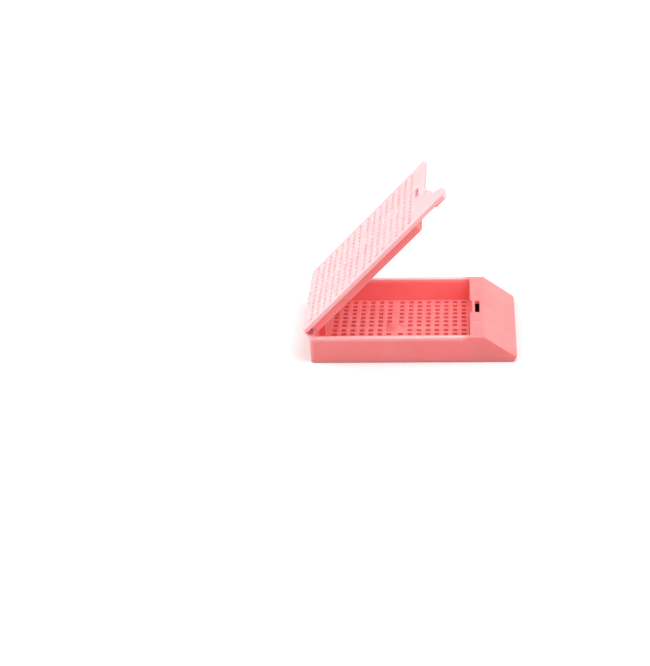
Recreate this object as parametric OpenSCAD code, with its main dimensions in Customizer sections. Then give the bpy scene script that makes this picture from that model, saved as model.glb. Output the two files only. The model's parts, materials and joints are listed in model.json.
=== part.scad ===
// Tissue cassette: a perforated tray with a slanted writing face and a perforated lid on a living hinge.
// Millimetres. +Z is up and z = 0 is the underside. +X points to the latch end, and the finger tab is on -Y.
// The origin is under the middle of the tray's footprint.
// Lengths are counted from the fold between tray and lid, a little below the rim. The lid is drawn
// lying closed, its inner face at z = 0 and the fold at x = 0, and is then swung open about the fold.

/* [Body] */
// Width of tray and lid at the rim
body_w = 28.5; // [27.5:0.5:32]
// Height of the tray from its underside to its rim
tray_h = 5.5; // [5:0.25:8]
// Thickness of the tray's side walls at the rim
wall = 1; // [0.8:0.1:1.2]
// Thickness of the tray's floor
floor_t = 0.85; // [0.6:0.05:1.2]
// Length from the fold to the ledge, which is the front of the specimen space
well_end = 32.5; // [31.7:0.2:34.3]
// How far each side wall leans in from the rim to the underside
side_draft = 0.3; // [0:0.1:0.6]

/* [Writing face] */
// Length of the flat ledge on which the lid closes
ledge_l = 2.8; // [2.4:0.1:3.6]
// Length of the slanted face, seen from above
face_l = 6.3; // [5:0.1:9]
// Height of the toe below the slanted face
toe_h = 1.1; // [0.8:0.1:1.8]
// Thickness of the ledge and of the slanted face
face_t = 0.9; // [0.7:0.1:1.2]

/* [Perforations] */
// Holes across, on each side of the middle bar
holes_across = 7; // [3:1:8]
// Holes along, on each side of the middle bar
holes_along = 8; // [3:1:9]
// Width of the bars between holes across
bar_across = 0.76; // [0.5:0.02:0.8]
// Width of the bars between holes along, in the tray and in the lid
bars_along = [0.85, 0.95]; // [0.5:0.05:1]
// Width of the two middle bars, across and along
middle_bars = [1.2, 1.45]; // [1:0.05:1.6]
// Side of the solid square in the middle of the floor
pad_side = 4; // [3.6:0.1:4.6]

/* [Lid] */
// Angle that the lid stands open
lid_open = 46; // [0:1:180]
// Thickness of the lid's plate
lid_t = 0.8; // [0.7:0.05:1]
// Height of the skirt that drops into the tray
skirt_h = 1.7; // [0.8:0.1:1.9]
// Thickness of the skirt
skirt_t = 0.6; // [0.4:0.05:0.8]
// How far the finger tab stands out from the lid
tab_l = 5.5; // [4:0.05:8]
// Width of the finger tab where it leaves the lid
tab_w = 9.4; // [8:0.1:11]

/* [Latches] */
// Width of the front hook
front_hook_w = 3.6; // [3:0.1:4.2]
// Depth of the front hook below the lid's plate
front_hook_h = 1.9; // [1.4:0.1:2.2]
// Width of the rear hook
rear_hook_w = 3.7; // [3:0.1:4.2]
// Depth of the rear hook below the lid's plate
rear_hook_h = 1.15; // [0.9:0.05:1.2]

/* [Living hinge] */
// Half width of the web at the fold
neck = 10.6; // [8:0.1:12]
// Radius of the web's round fold
web_r = 0.15; // [0.12:0.01:0.16]

/* [Hidden] */
$fn = 48;
eps = 0.01;
over = 1;                              // how far a cutter runs past what it cuts

// Clearances between tray and lid
lid_gap = 0.02;                        // plate above the rim
skirt_gap = 0.15;                      // skirt to the side walls and to the ledge
hook_gap = 0.15;                       // hooks to their slots

// Tray, lengths from the fold
half_w = body_w / 2;
fold_drop = 0.15;                      // fold below the rim
rear = 1.38;                           // outer face of the rear wall at the rim
rear_draft = 0.05;                     // lean of the rear wall
rear_wall = 0.87;
rear_r = 1;                            // rear corners in plan
toe_r = 0.6;                           // toe corners in plan
well_start = rear + rear_wall;
well_half = half_w - wall;
well_draft = 0.4;                      // lean of the well's side walls
end_draft = 0.1;                       // lean of the well's front wall
well_r = 0.3;                          // corners of the well in plan
ledge_end = well_end + ledge_l;
toe_end = ledge_end + face_l;
toe_draft = 0.4;                       // the toe's lean below the slanted face
fold_x = -(rear + rear_draft + toe_end - toe_draft) / 2;   // fold, in the part's own frame

// Hollow under the nose
nose_wall = 0.8;                       // between the well and the hollow
toe_wall = 1;
nose_start = well_end + nose_wall;
face_angle = atan2(tray_h - toe_h, face_l);

// Rear slotted boss
boss_half = 3.5;
boss_wall = 0.63;
rear_slot = [1.05, 5];                 // length, width
boss_end = well_start + rear_slot.x + boss_wall;

// Front latch slot in the ledge, with a relief that leaves a narrow catch bar
front_slot = [0.9, 5.4];
front_slot_x = well_end + 1;
relief = [0.45, 5.7, 1.2];             // length, width, depth

// Floor grid, dome
floor_half = [(well_end - well_start) / 2 - 0.82, well_half - well_draft - 0.37];
floor_mid = (well_start + well_end) / 2 + 0.12;
dome_r = 1.4;
dome_h = 0.55;
dome_ball = (dome_r * dome_r + dome_h * dome_h) / (2 * dome_h);

// Hinge neck: both plates narrow to it along one slanted line
lip_t = 0.35;                          // tray's lip
lid_lip_t = [0.12, 0.3];               // lid's lip, at the fold and at its root
lid_lip_end = 0.6;                     // root of the lid's lip
lip_start = 0.12;
neck_slope = 2.2;                      // widening of the neck for each millimetre from the fold
function neck_half(x) = neck + neck_slope * x;

// Lid, lengths from the fold
lid_end = ledge_end - 0.3;
lid_bevel_end = 1.55;                  // where the lid reaches its full thickness
lid_r = 0.9;                           // hinge end corners in plan
lid_free_r = 0.6;                      // free end corners in plan
skirt_start = well_start + 0.1;
skirt_end = well_end - skirt_gap;
skirt_half = well_half - skirt_gap;
skirt_r = 0.7;
skirt_break = 2 * (boss_half + hook_gap);      // the skirt stops short of the boss
vent_w = 0.35;
free_vents = [-8.75, 11.9];            // small breaks in the skirt's free side
grid_margin = 0.02;                    // holes stop this much short of the skirt

// Lid slots and hooks
hook_t = 0.65;
front_hook_x = front_slot_x + hook_gap;
front_lid_slot = [0.87, 4.4];
front_lid_slot_x = well_end + 0.13;
rear_hook_x = skirt_start + 0.05;
rear_hook_t = 0.55;
rear_lid_slot = [1.9, 4.7];            // reaches beside the hook's tongue
rear_lid_slot_x = 0.4;
rear_tongue = 0.9;                     // plate left in front of the hook, between the slot's arms
barb = 0.1;
barb_h = 0.6;

// Finger tab
tab_step_l = 1.8;                      // wide part of the tab, next to the lid
tab_step_r = 0.35;
tab_tip_w = 3.95;                      // width at its tip
tab_neck_w = 6.4;                      // width where the slanted side starts
tab_r = [0.45, 0.9];                   // tip corners: outer, inner
grip_l = 2.75;                         // raised pad at the tip
grip_t = 0.25;

// Size of one hole along an axis: n holes fill the length from the middle bar to half
function hole_size(half, middle, bar, n) = (half - middle / 2 - (n - 1) * bar) / n;
// Centres of the holes along an axis, on both sides of the middle bar
function hole_places(half, middle, bar, n) =
    let (hole = hole_size(half, middle, bar, n))
    [for (side = [-1, 1], i = [0 : n - 1]) side * (middle / 2 + hole / 2 + i * (hole + bar))];
function unit(v) = v / norm(v);

// Polygon with true arcs at its outer corners; a radius of 0 leaves a corner sharp
module rounded_polygon(corners, radii) {
    n = len(corners);
    before = [for (i = [0 : n - 1]) unit(corners[(i + n - 1) % n] - corners[i])];
    after = [for (i = [0 : n - 1]) unit(corners[(i + 1) % n] - corners[i])];
    half_angle = [for (i = [0 : n - 1]) acos(before[i] * after[i]) / 2];
    reach = [for (i = [0 : n - 1]) radii[i] / tan(half_angle[i])];
    polygon([
        for (i = [0 : n - 1])
            each (radii[i] == 0
                ? [corners[i]]
                : [corners[i] + reach[i] * before[i], corners[i] + reach[i] * after[i]])
    ]);
    for (i = [0 : n - 1])
        if (radii[i] > 0)
            translate(corners[i] + unit(before[i] + after[i]) * radii[i] / sin(half_angle[i]))
                circle(radii[i]);
}

// Plate outline from x0 to x1, centred on Y, with its own radius at each end
module plan(x0, x1, half, r0, r1) {
    rounded_polygon([[x0, -half], [x1, -half], [x1, half], [x0, half]], [r0, r1, r1, r0]);
}

// A side outline in x and z, given the width w across Y
module side_cut(points, w) {
    rotate([90, 0, 0]) linear_extrude(w, center = true) polygon(points);
}

// A bar along X whose half width grows from foot at z0 to top at z1
module drafted_bar(length, foot, top, z0, z1) {
    rotate([90, 0, 90]) linear_extrude(length)
        polygon([[-foot, z0], [foot, z0], [top, z1], [-top, z1]]);
}

// A block that is centred on Y
module block(x0, z0, size) {
    translate([x0, -size.y / 2, z0]) cube(size);
}

// The holes of a grid about the origin, cut down through z = 0; keep says which places have one
module grid(half, depth, bar_along, keep = function (x, y) true) {
    bars = [bar_along, bar_across];
    middles = [middle_bars[1], middle_bars[0]];
    counts = [holes_along, holes_across];
    size = [for (a = [0, 1]) hole_size(half[a], middles[a], bars[a], counts[a])];
    xs = hole_places(half.x, middles.x, bars.x, counts.x);
    ys = hole_places(half.y, middles.y, bars.y, counts.y);
    translate([0, 0, -depth - over]) linear_extrude(depth + 2 * over)
        for (x = xs, y = ys)
            if (keep(x, y))
                translate([x, y]) square(size, center = true);
}

// ---- tray ----

module tray_shell() {
    intersection() {
        side_cut([
            [rear + rear_draft, 0], [toe_end - toe_draft, 0], [toe_end, toe_h],
            [ledge_end, tray_h], [rear, tray_h]
        ], body_w + over);
        drafted_bar(toe_end + over, half_w - side_draft, half_w, 0, tray_h);
        linear_extrude(tray_h) plan(rear, toe_end, half_w, rear_r, toe_r);
    }
}

module well() {
    top = tray_h + over;
    lean = over / (tray_h - floor_t);      // carries each slanted wall on to the cutter's top
    intersection() {
        side_cut([
            [well_start + 0.25, floor_t], [well_end - end_draft, floor_t],
            [well_end + end_draft * lean, top], [well_start - 0.25 * lean, top]
        ], body_w);
        drafted_bar(toe_end, well_half - well_draft, well_half + well_draft * lean, floor_t, top);
        linear_extrude(top) plan(well_start - over, well_end + over, half_w, well_r, well_r);
    }
}

module nose_hollow() {
    drop = face_t / cos(face_angle);       // the slanted face's thickness, measured straight down
    slope = tan(face_angle);
    bend = ledge_end - (drop - face_t) / slope;
    end = toe_end - toe_draft - toe_wall;
    intersection() {
        side_cut([
            [nose_start, -over], [nose_start, tray_h - face_t], [bend, tray_h - face_t],
            [end, tray_h - face_t - (end - bend) * slope], [end, -over]
        ], body_w);
        drafted_bar(toe_end, half_w - side_draft - wall, half_w - wall, -over, tray_h);
    }
}

module boss() {
    block(well_start - wall / 2, floor_t / 2,
        [boss_end - well_start + wall / 2, 2 * boss_half, tray_h - floor_t / 2]);
}

module dome() {
    translate([floor_mid, 0, floor_t / 2]) intersection() {
        translate([0, 0, floor_t / 2 + dome_h - dome_ball]) sphere(dome_ball);
        cylinder(r = dome_ball, h = tray_h);
    }
}

// Thin lip that carries the web, with a round seat for it
module tray_lip() {
    difference() {
        translate([0, 0, tray_h - lip_t]) linear_extrude(lip_t) polygon([
            [lip_start, -neck_half(lip_start)], [rear, -neck_half(rear)], [rear + wall / 2, -neck_half(rear)],
            [rear + wall / 2, neck_half(rear)], [rear, neck_half(rear)], [lip_start, neck_half(lip_start)]
        ]);
        translate([0, 0, tray_h - fold_drop]) rotate([90, 0, 0])
            cylinder(r = web_r, h = body_w, center = true);
    }
}

module base() {
    floor_holes = function (x, y)
        max(abs(x), abs(y)) > pad_side / 2
        && (x + floor_mid > boss_end + bars_along[0] / 2 || abs(y) > boss_half);
    color("#F09A9E") translate([fold_x, 0, 0]) difference() {
        union() {
            difference() {
                tray_shell();
                well();
            }
            boss();
            dome();
            tray_lip();
        }
        nose_hollow();
        translate([floor_mid, 0, floor_t]) grid(floor_half, floor_t, bars_along[0], floor_holes);
        block(well_start, -over, [rear_slot.x, rear_slot.y, tray_h + 2 * over]);
        block(front_slot_x, -over, [front_slot.x, front_slot.y, tray_h + 2 * over]);
        side_cut([
            [well_end - over, tray_h - relief.z], [well_end, tray_h - relief.z],
            [well_end + relief.x, tray_h], [well_end + relief.x, tray_h + over],
            [well_end - over, tray_h + over]
        ], relief.y);
    }
}

// ---- living hinge ----

module living_hinge() {
    color("#F09A9E") translate([fold_x, 0, tray_h - fold_drop]) rotate([90, 0, 0])
        cylinder(r = web_r, h = 2 * neck, center = true);
}

// ---- lid ----

// Plate with its tapered neck, bevelled to a thin lip at the fold
module lid_plate() {
    corner = (half_w - neck) / neck_slope;
    intersection() {
        linear_extrude(lid_t) rounded_polygon([
            [0, -neck], [corner, -half_w], [lid_end, -half_w], [lid_end, half_w], [corner, half_w], [0, neck]
        ], [0, lid_r, 0, lid_free_r, lid_r, 0]);
        side_cut([
            [lip_start, 0], [lid_end + over, 0], [lid_end + over, lid_t],
            [lid_bevel_end, lid_t], [lid_lip_end, lid_lip_t[1]], [lip_start, lid_lip_t[0]]
        ], body_w + over);
    }
}

module finger_tab() {
    step_x = lid_end + tab_step_l;
    tip_x = lid_end + tab_l;
    linear_extrude(lid_t) rounded_polygon([
        [lid_end - over, -half_w], [tip_x, -half_w], [tip_x, -half_w + tab_tip_w],
        [step_x, -half_w + tab_neck_w], [step_x, -half_w + tab_w], [lid_end - over, -half_w + tab_w]
    ], [0, tab_r[0], tab_r[1], 0, tab_step_r, 0]);
}

// Raised pad under the tab's tip
module grip_pad() {
    intersection() {
        translate([0, 0, -grip_t - lid_t]) finger_tab();
        block(lid_end + tab_l - grip_l, -grip_t, [grip_l + over, body_w + over, grip_t + eps]);
    }
}

module skirt() {
    translate([0, 0, -skirt_h]) linear_extrude(skirt_h + lid_t / 2) difference() {
        plan(skirt_start, skirt_end, skirt_half, skirt_r, skirt_r);
        plan(skirt_start + skirt_t, skirt_end - skirt_t, skirt_half - skirt_t, eps * 5, eps * 5);
        translate([skirt_start - over, -skirt_break / 2]) square([skirt_t + over, skirt_break]);
        for (y = free_vents)
            translate([skirt_end - skirt_t - over, y - vent_w / 2]) square([skirt_t + 2 * over, vent_w]);
    }
}

// Upright hook below the plate, its barb facing the fold
module hook(x, thick, w, depth) {
    side_cut([
        [x, lid_t / 2], [x, barb_h - depth], [x - barb, barb_h * 0.6 - depth],
        [x + thick * 0.3, -depth], [x + thick, -depth], [x + thick, lid_t / 2]
    ], w);
}

module lid_flat() {
    grid_half = [(skirt_end - skirt_start) / 2 - skirt_t - grid_margin, skirt_half - skirt_t - grid_margin];
    difference() {
        union() {
            lid_plate();
            finger_tab();
            grip_pad();
            skirt();
        }
        translate([(skirt_start + skirt_end) / 2, 0, 0]) grid(grid_half, skirt_h, bars_along[1]);
        block(front_lid_slot_x, -over, [front_lid_slot.x, front_lid_slot.y, lid_t + 2 * over]);
        block(rear_lid_slot_x, -over, [rear_lid_slot.x, rear_lid_slot.y, lid_t + 2 * over]);
    }
    block(rear_hook_x - rear_tongue, 0, [rear_tongue + rear_hook_t, rear_hook_w, lid_t]);
    hook(front_hook_x, hook_t, front_hook_w, front_hook_h);
    hook(rear_hook_x, rear_hook_t, rear_hook_w, rear_hook_h);
}

module lid() {
    color("#FADADD") translate([fold_x, 0, tray_h - fold_drop]) rotate([0, -lid_open, 0])
        translate([0, 0, fold_drop + lid_gap]) lid_flat();
}

base();
living_hinge();
lid();
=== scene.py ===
"""Looks of the tissue cassette: tray, lid and hinge web, their moulded acetal, the camera and the light.

Pieces are shaped in millimetres, with lengths counted from the fold and heights from the tray's underside or,
for the lid, with the lid lying closed and its inner face at height 0. The last step puts them in the CAD
frame.
"""
import json
import math

import bmesh
import bpy
from mathutils import Matrix, Vector
from mathutils.geometry import interpolate_bezier


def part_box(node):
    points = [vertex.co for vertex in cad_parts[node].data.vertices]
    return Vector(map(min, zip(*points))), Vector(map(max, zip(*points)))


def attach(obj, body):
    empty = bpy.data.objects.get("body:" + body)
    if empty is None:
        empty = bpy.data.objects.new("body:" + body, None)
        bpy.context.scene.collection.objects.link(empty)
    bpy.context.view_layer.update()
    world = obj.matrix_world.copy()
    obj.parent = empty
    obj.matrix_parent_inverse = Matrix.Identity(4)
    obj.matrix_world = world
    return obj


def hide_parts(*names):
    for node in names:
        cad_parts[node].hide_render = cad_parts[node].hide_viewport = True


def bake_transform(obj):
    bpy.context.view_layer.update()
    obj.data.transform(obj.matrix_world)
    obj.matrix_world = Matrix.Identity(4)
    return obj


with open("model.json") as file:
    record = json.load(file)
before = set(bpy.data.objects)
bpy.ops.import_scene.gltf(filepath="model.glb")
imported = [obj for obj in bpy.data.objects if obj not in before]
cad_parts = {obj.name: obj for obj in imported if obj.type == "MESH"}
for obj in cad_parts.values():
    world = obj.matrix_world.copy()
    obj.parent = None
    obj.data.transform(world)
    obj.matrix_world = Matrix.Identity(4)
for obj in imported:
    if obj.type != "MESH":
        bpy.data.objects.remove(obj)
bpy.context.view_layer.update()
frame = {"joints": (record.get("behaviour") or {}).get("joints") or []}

# ---- sizes that come from the frame ----

MM = 0.001
hinge = frame["joints"][0]
fold = Vector(hinge["pos_m"]) / MM
lid_open = math.radians(-hinge["range_deg"][0])
tray_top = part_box("base")[1] / MM
tray_h = tray_top.z
half_w = tray_top.y
toe_end = tray_top.x - fold.x

# ---- sizes of the moulding, as the solids have them ----

WALL = 1.0
FLOOR_T = 0.85
SIDE_DRAFT = 0.3
REAR = 1.38
REAR_DRAFT = 0.05
REAR_R = 1.0
TOE_H = 1.1
TOE_DRAFT = 0.4
TOE_R = 0.6
WELL_START = REAR + 0.87
WELL_END = 32.5
WELL_HALF = half_w - WALL
WELL_R = 0.3
WELL_DRAFTS = (0.25, 0.1, 0.4)         # rear, front and sides
LEDGE_END = WELL_END + 2.8
FACE_T = 0.9
NOSE_START = WELL_END + 0.8
TOE_WALL = 1.0
BOSS_HALF = 3.5
REAR_SLOT = (WELL_START, WELL_START + 1.05, 2.5)       # start, end, half width
BOSS_END = REAR_SLOT[1] + 0.63
FRONT_SLOT = (WELL_END + 1, WELL_END + 1.9, 2.7)
RELIEF = (0.45, 2.85, 1.2)             # length, half width, depth
DOME_R = 1.4
DOME_H = 0.55
DOME_FOOT = 0.2                        # depth that the dome is let into the floor, and width of its fillet
DOME_RINGS = 9
LIP_START = 0.12
LIP_T = 0.35
NECK = 10.6
NECK_SLOPE = 2.2
EJECTOR_MARKS = ((33.7, -7.1), (33.7, 7.45))           # on the ledge
MARK_R = 0.55
MARK_DEPTH = 0.025
WEB_T = 0.22
TRAY_WEB_END = (0.4, -0.12)            # where the web starts in the tray's lip: x, then its lower face
LID_WEB_END = (0.75, 0.16)             # where it ends in the lid's lip: x, then its inner face
WEB_OUTER_BEND = (0.42, 0.5)           # how far the web runs straight on from the tray and from the lid
WEB_INNER_BEND = 0.2                   # the same at its inner face, from both
WEB_STEPS = 12

LID_RISE = tray_h - fold.z + 0.02      # inner face of the closed lid above the fold
LID_T = 0.8
LID_LIP = (0.5, 0.27)                  # end of the lid's lip and its thickness there
LID_BEVEL_END = 1.55
LID_END = LEDGE_END - 0.3
LID_R = 0.9
LID_FREE_R = 0.6
SKIRT = (WELL_START + 0.1, WELL_END - 0.15, WELL_HALF - 0.15)   # start, end, half width
SKIRT_H = 1.7
SKIRT_T = 0.6
SKIRT_R = 0.7
SKIRT_BREAK = BOSS_HALF + 0.15
VENTS = (-8.75, 11.9)
VENT_W = 0.35
TAB_END = LID_END + 5.5
TAB_STEP_END = LID_END + 1.8
TAB_WIDTHS = (3.95, 6.4, 9.4)          # at the tip, at the step, at the lid
TAB_TIP_R = (0.45, 0.9)                # outer and inner corner
TAB_STEP_R = (0.15, 0.35)
TAB_FOOT_R = 0.1
GRIP_START = TAB_END - 2.75
GRIP_T = 0.25
FRONT_HOOK = (FRONT_SLOT[0] + 0.15, 0.65, 1.8, 1.9)    # start, thickness, half width, depth
REAR_HOOK = (SKIRT[0] + 0.05, 0.55, 1.85, 1.15)
BARB = (0.1, 0.6)                      # reach, height
FRONT_LID_SLOT = (WELL_END + 0.13, WELL_END + 1, 2.2)
REAR_LID_SLOT = (0.4, 2.3, 2.35)
REAR_TONGUE = 0.9                      # plate left between the slot and the rear hook

# Perforations of both plates: along the body, then across it
HOLES = (8, 7)                         # on each side of the middle bar
BARS = (0.85, 0.76)
LID_BARS = (0.95, 0.76)
MIDDLES = (1.45, 1.2)
PAD_SIDE = 4.0
GRID_CENTRE = (WELL_START + WELL_END) / 2 + 0.12
GRID_HALF = ((WELL_END - WELL_START) / 2 - 0.82, WELL_HALF - WELL_DRAFTS[2] - 0.37)
LID_GRID_CENTRE = (SKIRT[0] + SKIRT[1]) / 2
LID_GRID_HALF = ((SKIRT[1] - SKIRT[0]) / 2 - SKIRT_T - 0.02, SKIRT[2] - SKIRT_T - 0.02)

# Softness of the mould's edges
SHARP_EDGE = 12                        # edges that turn by more degrees than this are rounded
SOFT_STEPS = 3
TRAY_EDGE_R = 0.14
LID_EDGE_R = 0.1
HOLE_EDGE_R = 0.07
HOLE_CORNER_R = 0.14
HOLE_LEVELS = 8                        # outlines down a hole, half of them at each edge
HOLE_OVERRUN = 0.1                     # share of the edge radius by which the outermost passes the face
ARC_STEPS = 10                         # to a quarter turn
BEYOND = 1.0                           # how far a cutting form runs past what it cuts


# ---- shaping in millimetres ----

def arc_corner(before, here, after, radius):
    """The points of an arc that replaces one corner of an outline."""
    back = (before - here).normalized()
    ahead = (after - here).normalized()
    half = back.angle(ahead) / 2
    centre = here + (back + ahead).normalized() * radius / math.sin(half)
    first = here + back * radius / math.tan(half) - centre
    turn = math.copysign(math.pi - 2 * half, ahead.x * back.y - ahead.y * back.x)
    steps = max(2, round(ARC_STEPS * abs(turn) / (math.pi / 2)))
    return [centre + Matrix.Rotation(turn * k / steps, 2) @ first for k in range(steps + 1)]


def rounded(corners, radii):
    """An outline through the corners, with an arc at each corner whose radius isn't 0."""
    points = [Vector(corner) for corner in corners]
    outline = []
    for i, radius in enumerate(radii):
        after = points[(i + 1) % len(points)]
        outline += arc_corner(points[i - 1], points[i], after, radius) if radius else [points[i]]
    return outline


def plate_outline(start, end, half, start_r=0, end_r=0):
    """A rectangle that is centred across the body, with its own corner radius at each end."""
    corners = [(start, -half), (end, -half), (end, half), (start, half)]
    return rounded(corners, [start_r, end_r, end_r, start_r])


def circle(x, y, radius, steps=32):
    """A round outline."""
    turns = [2 * math.pi * k / steps for k in range(steps)]
    return [Vector((x + radius * math.cos(t), y + radius * math.sin(t))) for t in turns]


def stack(name, *levels, across=False):
    """A closed form through outlines of equal length. Each level is an outline in x and y with its height or,
    across, an outline in x and z with its place across the body."""
    points = [(p.x, at, p.y) if across else (p.x, p.y, at) for outline, at in levels for p in outline]
    n = len(levels[0][0])
    faces = [tuple(range(n)), tuple(range(len(points) - n, len(points)))]
    for low in range(0, len(points) - n, n):
        faces += [(low + i, low + (i + 1) % n, low + n + (i + 1) % n, low + n + i) for i in range(n)]
    mesh = bpy.data.meshes.new(name)
    mesh.from_pydata(points, [], faces)
    work = bmesh.new()
    work.from_mesh(mesh)
    bmesh.ops.recalc_face_normals(work, faces=work.faces)
    work.to_mesh(mesh)
    work.free()
    form = bpy.data.objects.new(name, mesh)
    bpy.context.scene.collection.objects.link(form)
    return form


def upright(name, outline, low, high):
    """A prism between two heights."""
    return stack(name, (outline, low), (outline, high))


def crosswise(name, corners, half):
    """A prism from one side of the body to the other, on an outline in x and z."""
    outline = [Vector(corner) for corner in corners]
    return stack(name, (outline, -half), (outline, half), across=True)


def block(name, place, low, high):
    """A block, given its start, end and half width."""
    return upright(name, plate_outline(*place), low, high)


def bake(form):
    """Turns a form and its modifiers into a plain mesh."""
    graph = bpy.context.evaluated_depsgraph_get()
    mesh = bpy.data.meshes.new_from_object(form.evaluated_get(graph), depsgraph=graph)
    form.modifiers.clear()
    form.data = mesh


def combine(form, operation, *others):
    """Cuts the form with the others (DIFFERENCE), joins them to it (UNION) or keeps what they share
    (INTERSECT)."""
    for other in others:
        step = form.modifiers.new(other.name, "BOOLEAN")
        step.operation = operation
        step.solver = "MANIFOLD"
        step.object = other
    bake(form)
    for other in others:
        bpy.data.objects.remove(other)


def soften(form, radius, level=None):
    """Rounds every sharp edge, as a mould leaves it.

    A line is first drawn round the form at the level, so that a lip's rounding doesn't pull the wall below.
    """
    work = bmesh.new()
    work.from_mesh(form.data)
    bmesh.ops.remove_doubles(work, verts=work.verts, dist=1e-4)
    bmesh.ops.dissolve_limit(work, angle_limit=math.radians(0.05), verts=work.verts, edges=work.edges)
    if level is not None:
        bmesh.ops.bisect_plane(
            work, geom=[*work.verts, *work.edges, *work.faces], plane_co=(0, 0, level), plane_no=(0, 0, 1))
    work.to_mesh(form.data)
    work.free()
    bevel = form.modifiers.new("soft edges", "BEVEL")
    bevel.limit_method = "ANGLE"
    bevel.angle_limit = math.radians(SHARP_EDGE)
    bevel.width = radius
    bevel.segments = SOFT_STEPS
    bevel.use_clamp_overlap = False
    bake(form)


# ---- node building ----

def add(tree, kind, inputs=None, **settings):
    """Adds a node. Each input is a value or the output that feeds it."""
    new = tree.nodes.new(kind)
    for name, value in settings.items():
        setattr(new, name, value)
    for key, value in (inputs or {}).items():
        if isinstance(value, bpy.types.NodeSocket):
            tree.links.new(value, new.inputs[key])
        else:
            new.inputs[key].default_value = value
    return new


def calc(tree, operation, *values):
    """A Math node's result."""
    return add(tree, "ShaderNodeMath", dict(enumerate(values)), operation=operation).outputs[0]


# ---- perforations ----

GRID_SIZES = {
    "Holes along": HOLES[0], "Holes across": HOLES[1],
    "Hole length": 1.0, "Hole width": 1.0,
    "Bar along": 1.0, "Bar across": 1.0,
    "Middle along": 1.0, "Middle across": 1.0,
    "Centre": 0.0, "Underside": 0.0, "Top": 1.0,
    "Solid pad": 0.0, "Boss reach": -100.0, "Boss half width": 0.0,
    "Edge radius": HOLE_EDGE_R, "Corner radius": HOLE_CORNER_R,
}


def hole_places(tree, size):
    """Points at the middle of each hole. The two middle bars are wider than the rest, and the pad and the
    boss keep the places that they cover solid."""
    spans = {}
    for axis, way in (("X", "along"), ("Y", "across")):
        hole = size["Hole length" if axis == "X" else "Hole width"]
        pitch = calc(tree, "ADD", hole, size[f"Bar {way}"])
        count = calc(tree, "MULTIPLY", size[f"Holes {way}"], 2.0)
        spans[f"Vertices {axis}"] = count
        spans[f"Size {axis}"] = calc(tree, "MULTIPLY", pitch, calc(tree, "SUBTRACT", count, 1.0))
    grid = add(tree, "GeometryNodeMeshGrid", spans)
    place = add(tree, "ShaderNodeSeparateXYZ", {0: add(tree, "GeometryNodeInputPosition").outputs[0]})
    shifts = []
    for axis, way in (("X", "along"), ("Y", "across")):
        extra = calc(tree, "SUBTRACT", size[f"Middle {way}"], size[f"Bar {way}"])
        side = calc(tree, "SIGN", place.outputs[axis])
        shifts.append(calc(tree, "MULTIPLY", side, calc(tree, "MULTIPLY", extra, 0.5)))
    spread = add(tree, "GeometryNodeSetPosition", {
        "Geometry": grid.outputs["Mesh"],
        "Offset": add(tree, "ShaderNodeCombineXYZ", {"X": shifts[0], "Y": shifts[1]}).outputs[0],
    })
    far = [calc(tree, "ABSOLUTE", place.outputs[axis]) for axis in "XY"]
    pad_half = calc(tree, "MULTIPLY", size["Solid pad"], 0.5)
    in_pad = calc(tree, "LESS_THAN", calc(tree, "MAXIMUM", *far), pad_half)
    in_boss = calc(
        tree, "MULTIPLY",
        calc(tree, "LESS_THAN", place.outputs["X"], size["Boss reach"]),
        calc(tree, "LESS_THAN", far[1], size["Boss half width"]))
    kept = add(tree, "GeometryNodeDeleteGeometry", {
        "Geometry": spread.outputs[0], "Selection": calc(tree, "MAXIMUM", in_pad, in_boss),
    }, domain="POINT")
    return kept.outputs[0]


def hole_tool(tree, size):
    """A rounded rectangle swept down through the plate. It flares along a quarter circle where it leaves each
    face, so that the hole's edges come out rounded."""
    outline = add(tree, "GeometryNodeCurvePrimitiveQuadrilateral", {
        "Width": size["Hole length"], "Height": size["Hole width"]})
    corners = add(tree, "GeometryNodeFilletCurve", {
        "Curve": outline.outputs[0], "Radius": size["Corner radius"], "Count": 3}, mode="POLY")
    line = add(tree, "GeometryNodeCurvePrimitiveLine", {"End": (0.0, 0.0, 1.0)})
    path = add(tree, "GeometryNodeResampleCurve", {"Curve": line.outputs[0], "Count": HOLE_LEVELS})
    last = HOLE_LEVELS / 2 - 1
    step = calc(tree, "SUBTRACT", add(tree, "GeometryNodeInputIndex").outputs[0], last + 0.5)
    rank = calc(tree, "SUBTRACT", calc(tree, "ABSOLUTE", step), 0.5)
    turn = calc(tree, "MULTIPLY", rank, math.radians(90 / last))
    outermost = calc(tree, "GREATER_THAN", rank, last - 0.5)
    inward = calc(tree, "MULTIPLY", size["Edge radius"],
                  calc(tree, "SUBTRACT", calc(tree, "MULTIPLY", outermost, HOLE_OVERRUN),
                       calc(tree, "SUBTRACT", 1.0, calc(tree, "SINE", turn))))
    middle = calc(tree, "MULTIPLY", calc(tree, "ADD", size["Top"], size["Underside"]), 0.5)
    half = calc(tree, "MULTIPLY", calc(tree, "SUBTRACT", size["Top"], size["Underside"]), 0.5)
    height = calc(tree, "ADD", middle,
                  calc(tree, "MULTIPLY", calc(tree, "SIGN", step), calc(tree, "ADD", half, inward)))
    levels = add(tree, "GeometryNodeSetPosition", {
        "Geometry": path.outputs[0],
        "Position": add(tree, "ShaderNodeCombineXYZ", {"Z": height}).outputs[0]})
    outward = calc(tree, "MULTIPLY", size["Edge radius"],
                   calc(tree, "SUBTRACT", 1.0, calc(tree, "COSINE", turn)))
    mean_half = calc(tree, "MULTIPLY", calc(tree, "ADD", size["Hole length"], size["Hole width"]), 0.25)
    flare = calc(tree, "ADD", 1.0, calc(tree, "DIVIDE", outward, mean_half))
    tool = add(tree, "GeometryNodeCurveToMesh", {
        "Curve": levels.outputs[0], "Profile Curve": corners.outputs[0], "Scale": flare, "Fill Caps": True})
    return tool.outputs[0]


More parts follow.
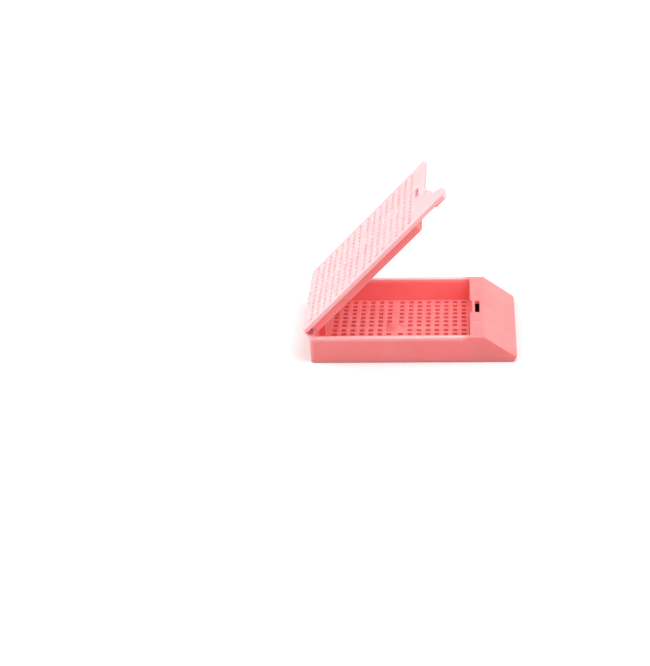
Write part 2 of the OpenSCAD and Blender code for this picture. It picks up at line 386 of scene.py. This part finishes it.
def perforation_tree():
    """Geometry nodes that cut a grid of soft edged square holes through a plate."""
    tree = bpy.data.node_groups.new("perforations", "GeometryNodeTree")
    tree.interface.new_socket("Plate", in_out="INPUT", socket_type="NodeSocketGeometry")
    for name, value in GRID_SIZES.items():
        kind = "NodeSocketInt" if isinstance(value, int) else "NodeSocketFloat"
        tree.interface.new_socket(name, in_out="INPUT", socket_type=kind).default_value = value
    tree.interface.new_socket("Finish", in_out="INPUT", socket_type="NodeSocketMaterial")
    tree.interface.new_socket("Plate", in_out="OUTPUT", socket_type="NodeSocketGeometry")
    size = add(tree, "NodeGroupInput").outputs
    tools = add(tree, "GeometryNodeInstanceOnPoints", {
        "Points": hole_places(tree, size), "Instance": hole_tool(tree, size)})
    row = add(tree, "GeometryNodeTransform", {
        "Geometry": tools.outputs[0],
        "Translation": add(tree, "ShaderNodeCombineXYZ", {"X": size["Centre"]}).outputs[0]})
    cut = add(tree, "GeometryNodeMeshBoolean", {
        "Mesh 1": size["Plate"],
        "Mesh 2": add(tree, "GeometryNodeRealizeInstances", {"Geometry": row.outputs[0]}).outputs[0],
    }, operation="DIFFERENCE", solver="MANIFOLD")
    whole = add(tree, "GeometryNodeRealizeInstances", {"Geometry": cut.outputs[0]})
    finish = add(tree, "GeometryNodeSetMaterial", {"Geometry": whole.outputs[0], "Material": size["Finish"]})
    add(tree, "NodeGroupOutput", {0: finish.outputs[0]})
    return tree


def line_between_holes(form, centre, holes, bars):
    """Draws a line down each bar's middle and round the grid, so that no face gets more than one hole."""
    work = bmesh.new()
    work.from_mesh(form.data)
    for axis, middle, count, hole, bar in zip((0, 1), MIDDLES, HOLES, holes, bars):
        lines = [middle / 2 + k * (hole + bar) - bar / 2 for k in range(1, count + 1)]
        across = Vector((1 - axis, axis, 0))
        for at in [0, *lines, *(-line for line in lines)]:
            bmesh.ops.bisect_plane(
                work, geom=[*work.verts, *work.edges, *work.faces],
                plane_co=Vector((centre, 0, 0)) + across * at, plane_no=across)
    work.to_mesh(form.data)
    work.free()


def triangulate(form):
    """Splits every face into triangles while its sizes are still in millimetres."""
    work = bmesh.new()
    work.from_mesh(form.data)
    bmesh.ops.triangulate(work, faces=work.faces, ngon_method="EAR_CLIP")
    work.to_mesh(form.data)
    work.free()


def perforate(form, tree, finish, half, bars, sizes):
    """Cuts the grid through the form; half is the grid's half length and half width."""
    holes = [(h - m / 2 - (n - 1) * bar) / n for h, m, n, bar in zip(half, MIDDLES, HOLES, bars)]
    line_between_holes(form, sizes["Centre"], holes, bars)
    values = {
        "Holes along": HOLES[0], "Holes across": HOLES[1], "Hole length": holes[0], "Hole width": holes[1],
        "Bar along": bars[0], "Bar across": bars[1], "Middle along": MIDDLES[0], "Middle across": MIDDLES[1],
        "Edge radius": HOLE_EDGE_R, "Corner radius": HOLE_CORNER_R, "Finish": finish, **sizes,
    }
    grid = form.modifiers.new("perforations", "NODES")
    grid.node_group = tree
    for item in tree.interface.items_tree:
        if item.in_out == "INPUT" and item.name in values:
            grid[item.identifier] = values[item.name]
    bake(form)
    triangulate(form)
    form.data.materials.clear()
    form.data.materials.append(finish)


# ---- tray ----

def well_outline(height):
    """The well's outline at a height: its walls lean outwards from the floor to the rim."""
    down = 1 - (height - FLOOR_T) / (tray_h - FLOOR_T)
    rear, front, sides = (draft * down for draft in WELL_DRAFTS)
    return plate_outline(WELL_START + rear, WELL_END - front, WELL_HALF - sides, WELL_R, WELL_R)


def lean(form):
    """Leans the outer walls in towards the underside, and the toe under the slanted face."""
    for point in form.data.vertices:
        place = point.co
        down = 1 - place.z / tray_h
        place.y *= 1 - SIDE_DRAFT * down / half_w
        if place.x < WELL_START + REAR_R:
            place.x += REAR_DRAFT * down
        elif place.x > toe_end - TOE_R - TOE_DRAFT:
            place.x -= TOE_DRAFT * max(0.0, 1 - place.z / TOE_H)


def nose_hollow():
    """The hollow under the ledge and the slanted face."""
    slope = (tray_h - TOE_H) / (toe_end - LEDGE_END)
    drop = FACE_T * math.hypot(1, slope)
    bend = LEDGE_END - (drop - FACE_T) / slope
    end = toe_end - TOE_DRAFT - TOE_WALL
    ceiling = tray_h - FACE_T
    corners = [
        (NOSE_START, -BEYOND), (NOSE_START, ceiling), (bend, ceiling),
        (end, ceiling - (end - bend) * slope), (end, -BEYOND),
    ]
    return crosswise("nose hollow", corners, half_w - WALL - SIDE_DRAFT / 2)


def dome():
    """The low dome in the middle of the floor, with a small fillet at its foot."""
    ball = (DOME_R ** 2 + DOME_H ** 2) / (2 * DOME_H)
    foot = math.asin(DOME_R / ball)
    levels = [(circle(GRID_CENTRE, 0, DOME_R + DOME_FOOT), FLOOR_T - DOME_FOOT),
              (circle(GRID_CENTRE, 0, DOME_R + DOME_FOOT), FLOOR_T + DOME_FOOT / 100),
              (circle(GRID_CENTRE, 0, DOME_R + DOME_FOOT / 4), FLOOR_T + 0.15 * DOME_FOOT)]
    for k in range(1, DOME_RINGS):
        turn = foot * (1 - k / DOME_RINGS)
        levels.append((circle(GRID_CENTRE, 0, ball * math.sin(turn)),
                       FLOOR_T + DOME_H - ball * (1 - math.cos(turn))))
    return stack("dome", *levels)


def lip_outline(end):
    """The tray's thin lip, which narrows to the neck at the fold."""
    fold_half = NECK + NECK_SLOPE * LIP_START
    wall_half = NECK + NECK_SLOPE * REAR
    return [Vector(p) for p in (
        (LIP_START, -fold_half), (REAR, -wall_half), (end, -wall_half),
        (end, wall_half), (REAR, wall_half), (LIP_START, fold_half))]


def ejector_mark(x, y):
    """A faint round recess that an ejector pin leaves in the ledge, with sloping sides."""
    return stack("ejector mark", (circle(x, y, MARK_R), tray_h - MARK_DEPTH),
                 (circle(x, y, MARK_R + MARK_DEPTH * 4), tray_h + MARK_DEPTH))


def tray_form():
    """The tray before its floor is perforated."""
    top = tray_h + BEYOND
    tray = crosswise("tray_body", [
        (REAR, 0), (toe_end, 0), (toe_end, TOE_H), (LEDGE_END, tray_h), (REAR, tray_h)], half_w + BEYOND)
    plan = upright("plan", plate_outline(REAR, toe_end, half_w, REAR_R, TOE_R), -BEYOND, top)
    combine(tray, "INTERSECT", plan)
    lean(tray)
    well = stack("well", (well_outline(FLOOR_T), FLOOR_T), (well_outline(top), top))
    combine(tray, "DIFFERENCE", well, nose_hollow())
    boss = block("boss", (WELL_START - WALL / 2, BOSS_END, BOSS_HALF), FLOOR_T / 2, tray_h)
    lip = upright("lip", lip_outline(WELL_START - WALL / 2), tray_h - LIP_T, tray_h)
    combine(tray, "UNION", boss, lip)
    length, half, depth = RELIEF
    relief = crosswise("relief", [
        (WELL_END - BEYOND, tray_h - depth), (WELL_END, tray_h - depth), (WELL_END + length, tray_h),
        (WELL_END + length, top), (WELL_END - BEYOND, top)], half)
    combine(tray, "DIFFERENCE", relief,
            block("rear slot", REAR_SLOT, -BEYOND, top), block("front slot", FRONT_SLOT, -BEYOND, top))
    soften(tray, TRAY_EDGE_R, tray_h - LIP_T - 2 * TRAY_EDGE_R)
    combine(tray, "UNION", dome())
    combine(tray, "DIFFERENCE", *(ejector_mark(*place) for place in EJECTOR_MARKS))
    return tray


# ---- lid ----

def lid_plate():
    """The lid's plate with its finger tab, bevelled to a thin lip at the fold."""
    corner = (half_w - NECK) / NECK_SLOPE
    tip, step, foot = (width - half_w for width in TAB_WIDTHS)
    plate = upright("lid_body", rounded([
        (0, -NECK), (corner, -half_w), (TAB_END, -half_w), (TAB_END, tip), (TAB_STEP_END, step),
        (TAB_STEP_END, foot), (LID_END, foot), (LID_END, half_w), (corner, half_w), (0, NECK),
    ], [0, LID_R, *TAB_TIP_R, *TAB_STEP_R, TAB_FOOT_R, LID_FREE_R, LID_R, 0]), 0, LID_T)
    lip_x, lip_t = LID_LIP
    side = crosswise("side", [
        (lip_x, 0), (TAB_END + BEYOND, 0), (TAB_END + BEYOND, LID_T), (LID_BEVEL_END, LID_T), (lip_x, lip_t),
    ], half_w + BEYOND)
    combine(plate, "INTERSECT", side)
    return plate


def grip_pad():
    """The raised pad at the tab's tip."""
    tip, step, _ = (width - half_w for width in TAB_WIDTHS)
    share = (GRIP_START - TAB_STEP_END) / (TAB_END - TAB_STEP_END)
    inner = step + (tip - step) * share
    return upright("grip", rounded([
        (GRIP_START, -half_w), (TAB_END, -half_w), (TAB_END, tip), (GRIP_START, inner),
    ], [0, *TAB_TIP_R, 0]), -GRIP_T, LID_T / 2)


def skirt():
    """The wall that drops into the well, open at the boss and at two small vents."""
    start, end, half = SKIRT
    ring = upright("skirt", plate_outline(start, end, half, SKIRT_R, SKIRT_R), -SKIRT_H, LID_T / 2)
    inside = block("inside", (start + SKIRT_T, end - SKIRT_T, half - SKIRT_T), -SKIRT_H - BEYOND, LID_T)
    opening = block("opening", (start - BEYOND, start + SKIRT_T + 0.1, SKIRT_BREAK), -SKIRT_H - BEYOND, LID_T)
    vents = [upright("vent", [Vector((x, y)) for x, y in (
        (end - SKIRT_T - BEYOND, at - VENT_W / 2), (end + BEYOND, at - VENT_W / 2),
        (end + BEYOND, at + VENT_W / 2), (end - SKIRT_T - BEYOND, at + VENT_W / 2))],
        -SKIRT_H - BEYOND, LID_T) for at in VENTS]
    combine(ring, "DIFFERENCE", inside, opening, *vents)
    return ring


def hook(place):
    """A latch hook with its barb towards the fold."""
    start, thick, half, depth = place
    reach, height = BARB
    return crosswise("hook", [
        (start, LID_T / 2), (start, height - depth), (start - reach, height * 0.6 - depth),
        (start + thick * 0.3, -depth), (start + thick, -depth), (start + thick, LID_T / 2)], half)


def lid_form():
    """The lid, lying closed, before it is perforated."""
    lid = lid_plate()
    combine(lid, "UNION", grip_pad(), skirt())
    combine(lid, "DIFFERENCE", *(
        block("slot", place, -BEYOND, LID_T + BEYOND) for place in (FRONT_LID_SLOT, REAR_LID_SLOT)))
    start, thick, half, _ = REAR_HOOK
    tongue = block("tongue", (start - REAR_TONGUE, start + thick, half), 0, LID_T)
    combine(lid, "UNION", tongue, hook(FRONT_HOOK), hook(REAR_HOOK))
    soften(lid, LID_EDGE_R)
    return lid


# ---- hinge web ----

def in_tray_frame(x, height):
    """A place in the lid's own section, as it stands at rest, in x and height from the fold."""
    return Matrix.Rotation(lid_open, 2) @ Vector((x, height))


def web_form():
    """The thin web that bends round the fold, with both ends let into the lips."""
    start, low = TRAY_WEB_END
    stop, inner = LID_WEB_END
    along = in_tray_frame(1, 0)
    tray_out, tray_in = Vector((start, low)), Vector((start, low + WEB_T))
    lid_out, lid_in = in_tray_frame(stop, inner + WEB_T), in_tray_frame(stop, inner)
    from_tray, from_lid = WEB_OUTER_BEND
    outside = interpolate_bezier(
        tray_out, tray_out - Vector((from_tray, 0)), lid_out - along * from_lid, lid_out, WEB_STEPS)
    inside = interpolate_bezier(
        lid_in, lid_in - along * WEB_INNER_BEND, tray_in - Vector((WEB_INNER_BEND, 0)), tray_in, WEB_STEPS)
    half = NECK - 0.1
    return stack("hinge_web", (outside + inside, -half), (outside + inside, half), across=True)


def seat(form, turn=0.0, height=0.0, rise=0.0):
    """Lifts a form by its rise, turns it about the fold's line and sets it in the CAD frame, in metres."""
    form.data.transform(
        Matrix.Scale(MM, 4) @ Matrix.Translation((fold.x, 0, height)) @ Matrix.Rotation(-turn, 4, "Y")
        @ Matrix.Translation((0, 0, rise)))


# ---- moulded acetal, and the light painted on it ----

ROSE = (0.98, 0.265, 0.268, 1)
ROSE_FLUSHED = (0.97, 0.235, 0.238, 1)
PAINTED_LIGHT_PINK = (0.97, 0.52, 0.54, 1)          # painted light: a paler pink that stands in for light shining through and glancing off the lid's plate, the web and the tray's rim
# the same painted light, for its darker patches
PAINTED_LIGHT_PINK_FLUSHED = (0.96, 0.49, 0.51, 1)
PAINTED_HOLE_LIGHT = (0.98, 0.74, 0.76, 1)           # painted light on the bars between the lid's holes, on the holes' walls: a still paler pink for light that reaches into them
SATIN = {"gloss": (0.34, 0.46), "grain": 0.12}
GLOW_MM = (0.9, 0.26, 0.22)            # how far red, green and blue light travel inside the moulding
INNER_FACE = 0.02                      # the lid's faces above this height are its plate's outer ones, which get painted light
HOLE_WALL = 0.9                        # a face whose normal is less upright than this is a hole's wall, which gets painted light
PAINTED_GLOW_DEPTH = 1.1                         # how far down its walls the tray's rim is painted paler, as glow and highlight
PAINTED_GLOW_LEDGE_FADE = 2                    # how far before the ledge the painted paler rim fades out
PAINTED_GLOW_AT_REAR = (0.9, 0.45)                # reach of the painted paler part at the rear wall, and its share of the rim's


def fade(tree, value, start, end):
    """A smooth rise from 0 to 1 as a length goes from start to end, both in millimetres."""
    return add(tree, "ShaderNodeMapRange", {"Value": value, "From Min": start * MM, "From Max": end * MM},
               interpolation_type="SMOOTHSTEP").outputs[0]


def painted_rim_light_amount(tree, place):
    """How much the tray is painted paler near the rim of its walls and at its rear wall, as glow and
    highlight.
    """
    part = add(tree, "ShaderNodeSeparateXYZ", {0: place}).outputs
    up = fade(tree, part["Z"], tray_h - PAINTED_GLOW_DEPTH, tray_h)
    ledge, rear = fold.x + WELL_END, fold.x + REAR
    before_ledge = fade(tree, part["X"], ledge, ledge - PAINTED_GLOW_LEDGE_FADE)
    reach, share = PAINTED_GLOW_AT_REAR
    at_rear = fade(tree, part["X"], rear + reach, rear)
    return calc(tree, "MAXIMUM",
                calc(tree, "MULTIPLY", up, before_ledge), calc(tree, "MULTIPLY", at_rear, share))


def acetal(name, light, dark, gloss, grain, rim=False):
    """Dyed acetal as it leaves the mould: cloudy colour, uneven gloss, the mould's fine spark grain and light
    that travels a little way inside. Gloss is the roughness of its shiniest and of its dullest patches. Some
    pieces get paler colours that paint light on them, and with rim the tray's rim and rear wall are mixed
    towards a paler pink, which is painted light too."""
    material = bpy.data.materials.new(name)
    material.use_nodes = True
    tree = material.node_tree
    tree.nodes.clear()
    place = add(tree, "ShaderNodeTexCoord").outputs["Object"]
    clouds = add(tree, "ShaderNodeTexNoise", {
        "Vector": place, "Scale": 160.0, "Detail": 3.0, "Roughness": 0.55})
    flow = add(tree, "ShaderNodeMapping", {"Vector": place, "Scale": (90.0, 420.0, 420.0)})
    streaks = add(tree, "ShaderNodeTexNoise", {"Vector": flow.outputs[0], "Scale": 1.0, "Detail": 2.0})
    cloudy = calc(tree, "MULTIPLY_ADD", streaks.outputs[0], 0.3,
                  calc(tree, "MULTIPLY", clouds.outputs[0], 0.7))
    patch = add(tree, "ShaderNodeMapRange", {"Value": cloudy, "From Min": 0.34, "From Max": 0.66})
    colour = add(tree, "ShaderNodeMix", {0: patch.outputs[0], 6: light, 7: dark}, data_type="RGBA")
    # painted light: the rim and rear wall are mixed towards a paler pink that stands in for glow and
    # highlight
    if rim:
        colour = add(tree, "ShaderNodeMix", {0: painted_rim_light_amount(tree, place), 6: colour.outputs[2], 7: PAINTED_LIGHT_PINK},
                     data_type="RGBA")
    shine = add(tree, "ShaderNodeMapRange", {"Value": cloudy, "From Min": 0.35, "From Max": 0.65,
                                             "To Min": gloss[0], "To Max": gloss[1]})
    spark = add(tree, "ShaderNodeTexNoise", {
        "Vector": place, "Scale": 4200.0, "Detail": 4.0, "Roughness": 0.65})
    bump = add(tree, "ShaderNodeBump", {"Height": spark.outputs[0], "Strength": grain, "Distance": 2e-5})
    surface = add(tree, "ShaderNodeBsdfPrincipled", {
        "Base Color": colour.outputs[2], "Roughness": shine.outputs[0], "Normal": bump.outputs[0],
        "IOR": 1.48, "Subsurface Weight": 1.0, "Subsurface Radius": GLOW_MM, "Subsurface Scale": MM})
    add(tree, "ShaderNodeOutputMaterial", {"Surface": surface.outputs[0]})
    return material


def finish_or_painted_light_faces(form, material, chosen):
    """Gives the chosen faces of a form a material of their own: a finish, or a paler colour that paints light
    on them.
    """
    form.data.materials.append(material)
    for face in form.data.polygons:
        if chosen(face):
            face.material_index = len(form.data.materials) - 1


def on_writing_face(face):
    """True for the tray's slanted face."""
    slope = Vector((tray_h - TOE_H, 0, toe_end - LEDGE_END)).normalized()
    return face.normal.dot(slope) > 0.995


def on_plate(face):
    """True for the outer face and the edges of the lid's plate, which get painted light."""
    return face.center.z > INNER_FACE


def on_hole_wall(face):
    """True for the walls of the lid's perforations, which get painted light."""
    place = face.center
    inside = abs(place.x - LID_GRID_CENTRE) < LID_GRID_HALF[0] and abs(place.y) < LID_GRID_HALF[1]
    return inside and place.z > 0 and abs(face.normal.z) < HOLE_WALL


def dress(piece, body, *nodes):
    """Smooths a finished piece and makes it ride its body in place of the solids."""
    piece.data.shade_smooth()
    weights = piece.modifiers.new("weighted normals", "WEIGHTED_NORMAL")
    weights.keep_sharp = True
    bake(piece)
    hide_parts(*nodes)
    if body:
        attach(piece, body)


satin_acetal = acetal("satin_acetal", ROSE, ROSE_FLUSHED, **SATIN)
# the tray's material, with painted glow and highlight at its rim and rear wall
tray_acetal_with_painted_rim = acetal("tray_acetal_with_painted_rim", ROSE, ROSE_FLUSHED, **SATIN, rim=True)
writing_face_acetal = acetal("writing_face_acetal", ROSE, ROSE_FLUSHED, gloss=(0.5, 0.62), grain=0.4)
# painted light: the lid's plate and the web get a paler pink for the light through and off them
painted_light_acetal = acetal("painted_light_acetal", PAINTED_LIGHT_PINK, PAINTED_LIGHT_PINK_FLUSHED, **SATIN)
# painted light: a still paler pink on the walls of the lid's holes
hole_wall_painted_light = acetal("hole_wall_painted_light", PAINTED_HOLE_LIGHT, PAINTED_LIGHT_PINK, gloss=(0.3, 0.4), grain=0.06)

perforations = perforation_tree()

tray = tray_form()
perforate(tray, perforations, tray_acetal_with_painted_rim, GRID_HALF, BARS, {
    "Centre": GRID_CENTRE, "Top": FLOOR_T, "Solid pad": PAD_SIDE,
    "Boss reach": BOSS_END + BARS[0] / 2 - GRID_CENTRE, "Boss half width": BOSS_HALF})
finish_or_painted_light_faces(tray, writing_face_acetal, on_writing_face)
seat(tray)
dress(tray, "tray", "base")

lid = lid_form()
perforate(lid, perforations, satin_acetal, LID_GRID_HALF, LID_BARS, {"Centre": LID_GRID_CENTRE, "Top": LID_T})
# painted light on the outer face and edges of the lid's plate
finish_or_painted_light_faces(lid, painted_light_acetal, on_plate)
# painted light on the walls of the lid's holes
finish_or_painted_light_faces(lid, hole_wall_painted_light, on_hole_wall)
seat(lid, lid_open, fold.z, LID_RISE)
dress(lid, "lid", "lid")

web = web_form()
# painted light on the web as well
web.data.materials.append(painted_light_acetal)
seat(web, height=fold.z)
dress(web, None, "living_hinge")
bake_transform(web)


# ---- studio ----

ROOM_LIGHT = 0.47                      # the white room's strength on the object
FLOOR_LIGHT = 0.6                      # how much of its light the table throws back on the object
FLOOR_SHADES = (0.83, 0.96)            # as the camera sees it: darker under and round the object, a painted shade that deepens its shadow, and paler far off
FLOOR_FADE = (40, 110)                 # where the one shade turns into the other
TABLE_SPAN = 2000
TABLE_LEVELS = (-0.02, -0.01)
LIT_PLACE = Vector((0, 0, 0.012))
SOFT_BOXES = {                         # place and side in metres, then watts
    "key": ((0.14, -0.06, 0.42), 0.35, 1.3),
    "right": ((0.32, -0.10, 0.20), 0.2, 0.5),
    "left": ((-0.30, 0.06, 0.26), 0.22, 0.95),
    "front": ((-0.28, -0.30, 0.16), 0.2, 0.15),
}
CAMERA_PLACE = Vector((fold.x + 31.6, -366.2, tray_h + 171.0)) * MM
CAMERA_TURNS = (-4.40, 25.70, -2.26)   # azimuth, how far it looks down, roll
FOCAL_LENGTH = 109.56757


def lit_backdrop(tree, low, high):
    """A strength that is low for the light on the object and high where the camera or a reflection sees."""
    path = add(tree, "ShaderNodeLightPath").outputs
    seen = calc(tree, "MAXIMUM", path["Is Camera Ray"], path["Is Glossy Ray"])
    seen = calc(tree, "MAXIMUM", seen, path["Is Transmission Ray"])
    return calc(tree, "MULTIPLY_ADD", seen, calc(tree, "SUBTRACT", high, low), low)


def white_room(strength):
    """An even white room, which the camera and reflections see as plain white."""
    world = bpy.data.worlds.new("white_room")
    world.use_nodes = True
    tree = world.node_tree
    tree.nodes.clear()
    air = add(tree, "ShaderNodeBackground", {
        "Color": (1, 1, 1, 1), "Strength": lit_backdrop(tree, strength, 1.0)})
    add(tree, "ShaderNodeOutputWorld", {"Surface": air.outputs[0]})
    bpy.context.scene.world = world


def pale_floor():
    """The white table that the tray stands on. It throws back less light than the camera sees it have, so
    that the tray's underside and walls stay in soft shade. As the camera and reflections see it, it is darker
    near the object: painted shade that deepens the object's shadow there."""
    material = bpy.data.materials.new("white_table")
    material.use_nodes = True
    tree = material.node_tree
    surface = tree.nodes["Principled BSDF"]
    place = add(tree, "ShaderNodeTexCoord").outputs["Object"]
    distance = add(tree, "ShaderNodeVectorMath", {0: place}, operation="LENGTH").outputs["Value"]
    near, far = FLOOR_SHADES
    # painted shade: darker near the object, paler far off
    shade = calc(tree, "MULTIPLY_ADD", fade(tree, distance, *FLOOR_FADE), far - near, near)
    white = lit_backdrop(tree, FLOOR_LIGHT, shade)
    pale = add(tree, "ShaderNodeCombineColor", {"Red": white, "Green": white, "Blue": white})
    tree.links.new(pale.outputs[0], surface.inputs["Base Color"])
    surface.inputs["Roughness"].default_value = 0.9
    surface.inputs["Specular IOR Level"].default_value = 0.0
    table = block("table", (-TABLE_SPAN, TABLE_SPAN, TABLE_SPAN), *TABLE_LEVELS)
    table.data.transform(Matrix.Scale(MM, 4))
    table.data.materials.append(material)


def soft_box(name, place, side, watts):
    """A square soft box that faces the object, with its place in metres."""
    lamp = bpy.data.lights.new(name, "AREA")
    lamp.size = side
    lamp.energy = watts
    box = bpy.data.objects.new(name, lamp)
    box.location = place
    box.rotation_euler = (LIT_PLACE - Vector(place)).to_track_quat("-Z", "Y").to_euler()
    bpy.context.scene.collection.objects.link(box)


def camera(place, turns, focal_length):
    """A camera at a place in metres, turned by degrees as it looks along +Y and down."""
    az, el, tilt = (math.radians(turn) for turn in turns)
    ahead = Vector((math.sin(az) * math.cos(el), math.cos(az) * math.cos(el), -math.sin(el)))
    right = Vector((math.cos(az), -math.sin(az), 0))
    up = right.cross(ahead)
    across = right * math.cos(tilt) + up * math.sin(tilt)
    upward = up * math.cos(tilt) - right * math.sin(tilt)
    data = bpy.data.cameras.new("camera")
    data.lens = focal_length
    data.clip_start = 0.01
    eye = bpy.data.objects.new("camera", data)
    eye.matrix_world = Matrix.Translation(place) @ Matrix((across, upward, -ahead)).transposed().to_4x4()
    bpy.context.scene.collection.objects.link(eye)
    bpy.context.scene.camera = eye


white_room(ROOM_LIGHT)
pale_floor()
for box_name, box_settings in SOFT_BOXES.items():
    soft_box(box_name, *box_settings)
camera(CAMERA_PLACE, CAMERA_TURNS, FOCAL_LENGTH)

bpy.context.scene.view_settings.view_transform = "Standard"
